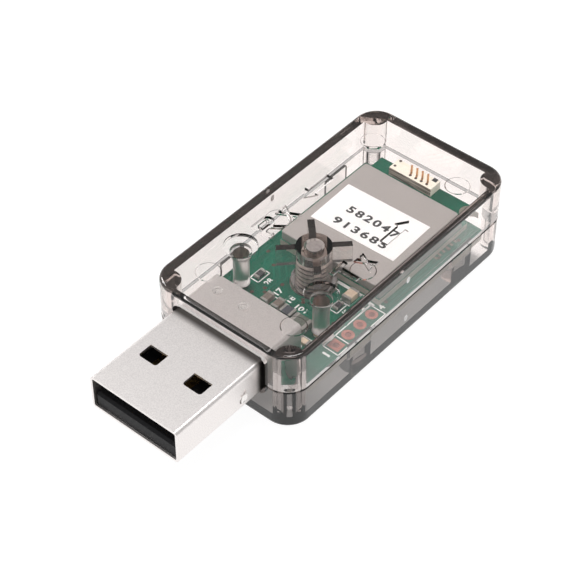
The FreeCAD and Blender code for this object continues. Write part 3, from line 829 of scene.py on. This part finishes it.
strips = bmesh.new()
ends = bmesh.new()
for index in range(4):
    x = -1.43 + index * 0.787
    add_line(strips, [(x, 34.5), (x - 0.15, 34.9), (x - 0.85, 35.95)], 0.24, AERIAL_TOP, 0.015)
    add_disc(ends, x, 34.5, 0.17, AERIAL_TOP, AERIAL_TOP + 0.02, 20)
for x, y in ((-3.78, 35.75), (-3.79, 34.69)):
    add_disc(ends, x, y, 0.17, AERIAL_TOP, AERIAL_TOP + 0.02, 20)
fired_copper = make_copper("fired_copper", (0.60, 0.26, 0.10), (0.80, 0.40, 0.17))
show(make_mesh(strips, "aerial_strips"), "aerial_strips", fired_copper)
show(make_mesh(ends, "aerial_dots"), "aerial_dots", brown_copper)
corner_mark = bmesh.new()
add_block(corner_mark, (0.95, 35.38, AERIAL_TOP), (1.56, 35.98, AERIAL_TOP + 0.015))
show(make_mesh(corner_mark, "aerial_mark"), "aerial_mark", black_ink)

# Plug tongue and contacts
# The tongue is moulded in black plastic and fills the lower half of the plug. Four gold-plated
# strips lie in its top and run back to the board.

black_moulding = make_plain_finish("black_moulding", (0.008, 0.008, 0.009), (0.016, 0.016, 0.018), 0.5, 5.0)
gold_plate = make_plain_finish("gold_plate", (0.72, 0.50, 0.20), (0.84, 0.64, 0.32), 0.24, 4.0, 1.0, 0.003)
black_moulding.node_tree.nodes["Principled BSDF"].inputs["Specular IOR Level"].default_value = 0.2
dress_node("plug_insulator", black_moulding)
for number in range(1, 5):
    dress_node("plug_contact_%d" % number, gold_plate, 40.0)

# Plug shell
# Nickel-plated steel sheet, 0.3 mm thick, punched with its latch windows, folded into a
# rectangle and dented with a round punch to hold the tongue.


def combine(tree, operation, a, b):
    """Joins two values."""
    node = tree.nodes.new("ShaderNodeMath")
    node.operation = operation
    tree.links.new(a, node.inputs[0])
    tree.links.new(b, node.inputs[1])
    return node.outputs["Value"]


def place_in_piece(tree):
    """The X, Y and Z of a place on the piece."""
    coordinates = tree.nodes.new("ShaderNodeTexCoord")
    place = tree.nodes.new("ShaderNodeSeparateXYZ")
    tree.links.new(coordinates.outputs["Object"], place.inputs["Vector"])
    return place.outputs


def make_plug_steel():
    """Satin nickel plate with a fine even grain, and painted shade: near-black in a band where the plug
    enters the case, and darker inside the case.
    """
    finish, tree, shader = start_finish("satin_nickel", 0.4, 1.0)
    fine = speckle(tree, 8.0, 2.0)
    along = place_in_piece(tree)["Y"]
    mouth = CASE_FRONT * MILLIMETRE
    outside = graded(tree, along, mouth - 1.1 * MILLIMETRE, mouth - 0.1 * MILLIMETRE, 1.0, 0.03, True)
    inside = graded(tree, along, mouth + 0.85 * MILLIMETRE, mouth + 0.95 * MILLIMETRE, 0.0, 0.66)
    # Painted shade: the steel goes near-black at the case's mouth and stays darker inside the case.
    painted_shade_mix = tree.nodes.new("ShaderNodeMix")
    painted_shade_mix.data_type = "RGBA"
    painted_shade_mix.inputs["A"].default_value = (0.06, 0.055, 0.052, 1.0)
    tree.links.new(combine(tree, "MAXIMUM", outside, inside), painted_shade_mix.inputs["Factor"])
    blend_colours(tree, fine, (0.82, 0.78, 0.765), (1.0, 0.955, 0.935), painted_shade_mix.inputs["B"])
    tree.links.new(painted_shade_mix.outputs["Result"], shader.inputs["Base Color"])
    roughen(tree, shader, fine, 0.001, 0.25)
    return finish


plug_steel = make_plug_steel()
punched_steel = make_plain_finish(
    "punched_steel", (0.80, 0.77, 0.75), (0.93, 0.90, 0.88), 0.12, 6.0, 1.0, 0.001
)

plug_low, plug_high = corners_of("plug_shell")
plug_middle = (plug_low.z + plug_high.z) / 2
PUNCH_RADIUS = 1.0
PUNCH_LIFT = 0.8
TOP_PUNCH_Y = 4.35
SIDE_PUNCH_Y = -2.9
PUNCH_CENTRES = (
    Vector((-0.35, TOP_PUNCH_Y, plug_high.z + PUNCH_LIFT)),
    Vector((-3.95, TOP_PUNCH_Y, plug_high.z + PUNCH_LIFT)),
    Vector((plug_high.x + PUNCH_LIFT, SIDE_PUNCH_Y, plug_middle)),
    Vector((plug_low.x - PUNCH_LIFT, SIDE_PUNCH_Y, plug_middle)),
)


def punch_cutters():
    """Balls that press the small round dents into the plug's top and sides."""
    cutters = []
    for centre in PUNCH_CENTRES:
        ball = bmesh.new()
        bmesh.ops.create_uvsphere(
            ball,
            u_segments=48,
            v_segments=32,
            radius=PUNCH_RADIUS * MILLIMETRE,
            matrix=Matrix.Translation(at(*centre)),
        )
        cutters.append(make_mesh(ball, "punch"))
    return cutters


def punched_or_plain(centre, normal, corners):
    """A face of a dent's bowl has all its corners on the ball that pressed it."""
    for punch in PUNCH_CENTRES:
        if all(abs((corner - punch).length - PUNCH_RADIUS) < 0.01 for corner in corners):
            return 1
    return 0


plug_mesh = carve(make_mesh(copy_of_node("plug_shell"), "plug_shell"), punch_cutters())
give_finishes(plug_mesh, [plug_steel, punched_steel], punched_or_plain)
smooth_piece(plug_mesh, 40.0)
show(plug_mesh, "steel_plug_shell", None, ["plug_shell"])

# Top shell
# The lid of the case, in the same clear plastic. The screw boss, its four webs and the two light
# pipes hang from its plate. The marks for the two lights and their arrows are sunk in its face.

CASE_TOP = 10.6
CEILING = 9.5
MARK_DEPTH = 0.4
WEB_BOTTOM = 7.2
PIPE_X = 5.603
PIPE_Y = 9.95
RING_RADIUS = 1.87
PIPE_STEM = 0.92
PIPE_NECK = 8.75
PIPE_FOOT = 5.0


def mark_cutter(outline):
    """A block with the given outline that cuts a mark into the lid's face."""
    shape = bmesh.new()
    corners = [shape.verts.new(at(px, py, CASE_TOP - MARK_DEPTH)) for px, py in outline]
    face = shape.faces.new(corners)
    raised = bmesh.ops.extrude_face_region(shape, geom=[face])
    lifted = [part for part in raised["geom"] if isinstance(part, bmesh.types.BMVert)]
    bmesh.ops.translate(shape, vec=(0.0, 0.0, (MARK_DEPTH + 0.3) * MILLIMETRE), verts=lifted)
    bmesh.ops.recalc_face_normals(shape, faces=shape.faces[:])
    return make_mesh(shape, "mark")


def box_outline(x0, x1, y0, y1):
    """The four corners of a stroke that runs square to the case."""
    return ((x0, y0), (x1, y0), (x1, y1), (x0, y1))


def arrow_outline(x, y_tail, y_neck, y_tip):
    """An arrow: a straight shaft and a pointed head."""
    return (
        (x - 0.49, y_tail),
        (x + 0.49, y_tail),
        (x + 0.49, y_neck),
        (x + 0.93, y_neck),
        (x, y_tip),
        (x - 0.93, y_neck),
        (x - 0.49, y_neck),
    )


def bowl_outline(x, y, inner, outer, steps=16):
    """Half a ring, open towards the letter's stem."""
    around = [math.pi * step / steps for step in range(steps + 1)]
    outside = [(x - outer * math.cos(a), y + outer * math.sin(a)) for a in around]
    inside = [(x - inner * math.cos(a), y + inner * math.sin(a)) for a in reversed(around)]
    return outside + inside


def cross_outlines(x0, x1, y0, y1, stroke):
    """The two crossed strokes of a small x."""
    return (
        ((x0, y0), (x0, y0 + stroke), (x1, y1), (x1, y1 - stroke)),
        ((x1, y0), (x1, y0 + stroke), (x0, y1), (x0, y1 - stroke)),
    )


LETTER_R = (
    box_outline(-6.8, -3.95, 12.9, 13.5),
    box_outline(-6.8, -6.29, 13.4, 14.67),
    box_outline(-5.63, -5.1, 13.4, 14.67),
    bowl_outline(-5.95, 14.65, 0.34, 0.85),
    ((-5.2, 13.95), (-5.2, 14.6), (-3.95, 15.6), (-3.95, 14.9)),
)
LETTER_T = (
    box_outline(4.19, 4.75, 12.9, 15.3),
    box_outline(4.65, 7.11, 13.82, 14.42),
)
MARKS = (
    *LETTER_R,
    *cross_outlines(-6.15, -3.97, 16.2, 18.0, 0.62),
    *LETTER_T,
    *cross_outlines(5.06, 7.13, 15.9, 17.57, 0.62),
    arrow_outline(-5.45, 24.83, 21.56, 20.2),
    arrow_outline(5.68, 20.25, 23.4, 24.77),
)


def ring_cutters():
    """The shallow rings round the tops of the light pipes, with a small chamfer at the rim."""
    rings = bmesh.new()
    rims = bmesh.new()
    for x in (-PIPE_X, PIPE_X):
        add_disc(rings, x, PIPE_Y, RING_RADIUS - 0.02, CASE_TOP - MARK_DEPTH, CASE_TOP + 0.3, 96)
        narrow = RING_RADIUS - 0.05
        wide = RING_RADIUS + 0.15
        add_disc(rims, x, PIPE_Y, narrow, CASE_TOP - 0.1, CASE_TOP + 0.1, 96, wide)
    return [make_mesh(rings, "ring_cutters"), make_mesh(rims, "ring_rims")]


def pipe_collar_cutters():
    """Rings that turn the light pipes down below their heads."""
    cutters = []
    for x in (-PIPE_X, PIPE_X):
        collar = bmesh.new()
        add_disc(collar, x, PIPE_Y, 1.6, PIPE_FOOT - 0.3, PIPE_NECK, 64)
        core = bmesh.new()
        add_disc(core, x, PIPE_Y, PIPE_STEM, PIPE_FOOT - 0.5, PIPE_NECK + 0.5, 64)
        cutters.append(carve(make_mesh(collar, "collar"), [make_mesh(core, "core")]))
    return cutters


def ejector_marks():
    """Round marks under the lid's plate where the mould's pins pushed it out."""
    shape = bmesh.new()
    for x, y in ((-5.9, 5.1), (6.1, 4.9), (-5.7, 16.2), (6.4, 15.9), (-5.96, 33.1), (5.97, 33.2)):
        add_disc(shape, x, y, 1.55, CEILING - 0.1, CEILING + 0.1, 64, 1.35)
    return make_mesh(shape, "ejector_marks")


def under_web(centre, normal):
    """True for the undersides of the webs round the screw boss."""
    return abs(centre.z - WEB_BOTTOM) < 0.05 and normal.z < -0.9


def on_pipe_end(centre, normal):
    """True for the lower ends of the light pipes, left rough so that they gather light."""
    below_pipe = abs(abs(centre.x) - PIPE_X) < 1.0 and abs(centre.y - PIPE_Y) < 1.0
    return below_pipe and centre.z < PIPE_FOOT + 0.5 and normal.z < -0.9


def on_pipe_side(centre, normal):
    """True for the drawn sides of the light pipes."""
    near_pipe = math.hypot(abs(centre.x) - PIPE_X, centre.y - PIPE_Y) < 1.3
    return near_pipe and PIPE_FOOT - 0.5 < centre.z < CEILING - 0.1 and abs(normal.z) < 0.5


def lid_plastic(centre, normal, corners):
    """Which of the plastics a face of the lid has."""
    if on_pipe_side(centre, normal):
        return SATIN
    if on_pipe_end(centre, normal):
        return FROSTED
    # The gate marks get a painted highlight: near-white.
    if in_gate_mark(centre):
        return PAINTED_GLINT
    # The undersides of the webs and the faces beside the plug get painted shade: near-black plastic.
    if under_web(centre, normal) or beside_plug(centre, normal):
        return PAINTED_SHADE
    return CLEAR


lid_cutters = [mark_cutter(outline) for outline in MARKS]
lid_cutters += ring_cutters()
lid_cutters += pipe_collar_cutters()
lid_cutters += [ejector_marks(), gate_marks(TOP_GATE_Z)]
lid_mesh = carve(make_mesh(copy_of_node("top_shell"), "top_shell"), lid_cutters)
give_finishes(lid_mesh, shell_plastics, lid_plastic)
smooth_piece(lid_mesh)
show(lid_mesh, "clear_top_shell", None, ["top_shell"])

# Case screw
# A pan-head steel screw with a flat point, driven up from the underside. It cuts its own
# thread in the boss and holds the two shells together.

SCREW_Y = 15.5
ABOVE_HEAD = 2.0
THREAD_CORE = 1.0
THREAD_ROOT = 1.13
THREAD_CREST = 1.4
THREAD_PITCH = 0.61
THREAD_START = 2.5
THREAD_TOP = 8.05

screw_steel = make_plain_finish(
    "screw_steel", (0.38, 0.34, 0.33), (0.50, 0.455, 0.44), 0.36, 3.0, 1.0, 0.004
)
thread_steel = make_plain_finish(
    "thread_steel", (0.42, 0.365, 0.335), (0.56, 0.49, 0.45), 0.4, 3.0, 0.4, 0.004
)
shaded_steel = make_plain_finish(
    "shaded_steel", (0.055, 0.046, 0.042), (0.10, 0.085, 0.078), 0.5, 3.0, 0.5, 0.004
)


def shaded_shaft(centre, normal, corners):
    """The sides of the screw's shaft lie in the dark of the boss."""
    return 1 if centre.z > ABOVE_HEAD and abs(normal.z) < 0.3 else 0


def shaded_flank(centre, normal, corners):
    """The thread's lower flanks face away from the light."""
    return 1 if normal.z < -0.2 else 0


screw_mesh = make_mesh(copy_of_node("case_screw"), "case_screw")
give_finishes(screw_mesh, [screw_steel, shaded_steel], shaded_shaft)
smooth_piece(screw_mesh)
show(screw_mesh, "screw_body", None, ["case_screw"])

thread = bmesh.new()
half_root = THREAD_PITCH * 0.5
ridge = (
    (THREAD_CORE, -half_root),
    (THREAD_ROOT, -half_root),
    (THREAD_CREST, -0.05),
    (THREAD_CREST, 0.05),
    (THREAD_ROOT, half_root),
    (THREAD_CORE, half_root),
)
corners = [thread.verts.new(at(radius, SCREW_Y, THREAD_START + rise)) for radius, rise in ridge]
edges = [thread.edges.new((corners[i - 1], corners[i])) for i in range(len(corners))]
turns = (THREAD_TOP - half_root - THREAD_START) / THREAD_PITCH
steps = int(turns * 40)
bmesh.ops.spin(
    thread,
    geom=corners + edges,
    cent=at(0, SCREW_Y, 0),
    axis=(0.0, 0.0, 1.0),
    dvec=(0.0, 0.0, turns * THREAD_PITCH * MILLIMETRE / steps),
    angle=math.tau * turns,
    steps=steps,
)
bmesh.ops.holes_fill(thread, edges=[e for e in thread.edges if e.is_boundary])
bmesh.ops.recalc_face_normals(thread, faces=thread.faces[:])
thread_mesh = make_mesh(thread, "screw_thread")
give_finishes(thread_mesh, [thread_steel, shaded_steel], shaded_flank)
smooth_piece(thread_mesh, 30.0)
show(thread_mesh, "screw_thread", None)

# Studio
# A white floor, a white surround and two soft lamps. The camera stands where the
# photographer stood.

scene = bpy.context.scene
scene.view_settings.view_transform = "Standard"

floor_shape = bmesh.new()
bmesh.ops.create_grid(floor_shape, x_segments=1, y_segments=1, size=1.2)
floor_mesh = make_mesh(floor_shape, "floor")
floor = bpy.data.objects.new("floor", floor_mesh)
scene.collection.objects.link(floor)
floor.location.z = -0.00002
floor_finish, floor_tree, floor_shader = start_finish("white_floor", 0.9)
floor_shader.inputs["Base Color"].default_value = (0.86, 0.86, 0.86, 1.0)
rays = floor_tree.nodes.new("ShaderNodeLightPath")


floor_place = place_in_piece(floor_tree)


def floor_ramp(axis, start, end, low, high):
    """A soft step between two values, from one distance along an axis to another, in millimetres."""
    value = floor_place[axis]
    return graded(floor_tree, value, start * MILLIMETRE, end * MILLIMETRE, low, high, True)


def glowing_paper(colour, glow, tint):
    """White paper whose own light brings its lit parts up to white and keeps its shadows."""
    paper = floor_tree.nodes.new("ShaderNodeBsdfDiffuse")
    paper.inputs["Color"].default_value = (colour, colour, colour, 1.0)
    light = floor_tree.nodes.new("ShaderNodeEmission")
    light.inputs["Color"].default_value = (*tint, 1.0)
    floor_tree.links.new(glow, light.inputs["Strength"])
    both = floor_tree.nodes.new("ShaderNodeAddShader")
    floor_tree.links.new(paper.outputs["BSDF"], both.inputs[0])
    floor_tree.links.new(light.outputs["Emission"], both.inputs[1])
    return both.outputs["Shader"]


def choose(ray, otherwise, shader):
    """Shows one shader to a kind of ray, and another to the rest."""
    mix = floor_tree.nodes.new("ShaderNodeMixShader")
    floor_tree.links.new(rays.outputs[ray], mix.inputs["Fac"])
    floor_tree.links.new(otherwise, mix.inputs[1])
    floor_tree.links.new(shader, mix.inputs[2])
    return mix.outputs["Shader"]


even_glow = floor_tree.nodes.new("ShaderNodeValue").outputs["Value"]
even_glow.default_value = 0.93
# Seen through the plastic, the floor's glow is painted light and shadow: dim under the case as painted
# shadow, bright to its left and behind it as painted light.
painted_shadow_under_case = floor_ramp("Y", CASE_FRONT + 3.0, CASE_FRONT + 9.0, 0.14, 0.27)
painted_light_left_of_case = floor_ramp("X", -7.6, -8.8, 0.0, 0.9)
painted_light_behind_case = floor_ramp("Y", CASE_FRONT + 33.2, CASE_FRONT + 35.0, 0.0, 1.05)
seen_directly = glowing_paper(0.14, even_glow, (1.0, 1.0, 1.0))
painted_light_beside_case = combine(floor_tree, "MAXIMUM", painted_light_left_of_case, painted_light_behind_case)
painted_light_and_shadow_glow = combine(floor_tree, "MAXIMUM", painted_shadow_under_case, painted_light_beside_case)
seen_through_plastic = glowing_paper(0.32, painted_light_and_shadow_glow, (1.02, 0.985, 0.97))
surface = choose("Is Glossy Ray", floor_shader.outputs["BSDF"], seen_directly)
surface = choose("Is Transmission Ray", surface, seen_through_plastic)
surface = choose("Is Camera Ray", surface, seen_directly)
floor_tree.links.new(surface, floor_tree.nodes["Material Output"].inputs["Surface"])
floor_mesh.materials.append(floor_finish)

world = bpy.data.worlds.new("studio")
scene.world = world
world.use_nodes = True
sky = world.node_tree
direction = sky.nodes.new("ShaderNodeTexCoord")


def toward(axis):
    """How far a direction points along an axis, from -1 to 1."""
    product = sky.nodes.new("ShaderNodeVectorMath")
    product.operation = "DOT_PRODUCT"
    product.inputs[1].default_value = axis
    sky.links.new(direction.outputs["Generated"], product.inputs[0])
    return product.outputs["Value"]


studio_room = sky.nodes["Background"]
dark_flag = graded(sky, toward((-0.38, 0.60, 0.70)), 0.80, 0.98, 0.50, 0.34, True)
sky.links.new(dark_flag, studio_room.inputs["Color"])
white_wall = sky.nodes.new("ShaderNodeBackground")
white_wall.inputs["Color"].default_value = (1.0, 1.0, 1.0, 1.0)
sky_rays = sky.nodes.new("ShaderNodeLightPath")
near_horizon = graded(sky, toward((0.0, 0.0, 1.0)), 0.15, 0.35, 1.0, 0.62, True)
through_plastic = combine(sky, "MULTIPLY", sky_rays.outputs["Is Transmission Ray"], near_horizon)
wall_seen = combine(sky, "MAXIMUM", sky_rays.outputs["Is Camera Ray"], through_plastic)
sky_mix = sky.nodes.new("ShaderNodeMixShader")
sky.links.new(wall_seen, sky_mix.inputs["Fac"])
sky.links.new(studio_room.outputs["Background"], sky_mix.inputs[1])
sky.links.new(white_wall.outputs["Background"], sky_mix.inputs[2])
sky.links.new(sky_mix.outputs["Shader"], sky.nodes["World Output"].inputs["Surface"])


def add_lamp(name, place, size, energy):
    """A square soft lamp that faces the dongle."""
    lamp = bpy.data.lights.new(name, "AREA")
    lamp.shape = "SQUARE"
    lamp.size = size
    lamp.energy = energy
    holder = bpy.data.objects.new(name, lamp)
    holder.location = place
    aim = Vector((0.0, 0.0, 0.005)) - Vector(place)
    holder.rotation_euler = aim.to_track_quat("-Z", "Y").to_euler()
    holder.visible_transmission = False
    scene.collection.objects.link(holder)


add_lamp("main_lamp", (-0.36, -0.02, 0.28), 0.17, 1.05)
add_lamp("overhead_lamp", (0.02, 0.06, 0.45), 0.2, 0.8)

CAMERA_TURN = math.radians(40.163)
CAMERA_RISE = math.radians(44.936)
CAMERA_ROLL = math.radians(0.241)
CAMERA_DISTANCE = 195.998
CAMERA_TARGET = at(-0.677, 12.301, 5.29)
FOCAL_PIXELS = 1807.724
PHOTO_PIXELS = 580
SENSOR_WIDTH = 36.0
backward = Vector(
    (
        math.sin(CAMERA_TURN) * math.cos(CAMERA_RISE),
        -math.cos(CAMERA_TURN) * math.cos(CAMERA_RISE),
        math.sin(CAMERA_RISE),
    )
)
level_right = Vector((math.cos(CAMERA_TURN), math.sin(CAMERA_TURN), 0.0))
level_up = backward.cross(level_right)
camera_right = level_right * math.cos(CAMERA_ROLL) + level_up * math.sin(CAMERA_ROLL)
camera_up = level_up * math.cos(CAMERA_ROLL) - level_right * math.sin(CAMERA_ROLL)
camera_data = bpy.data.cameras.new("camera")
camera_data.sensor_width = SENSOR_WIDTH
camera_data.lens = FOCAL_PIXELS / PHOTO_PIXELS * SENSOR_WIDTH
camera_data.clip_start = 0.01
camera_data.clip_end = 10.0
camera = bpy.data.objects.new("camera", camera_data)
scene.collection.objects.link(camera)
turned = Matrix((camera_right, camera_up, backward)).transposed().to_4x4()
camera_place = CAMERA_TARGET + backward * CAMERA_DISTANCE * MILLIMETRE
camera.matrix_world = Matrix.Translation(camera_place) @ turned
scene.camera = camera
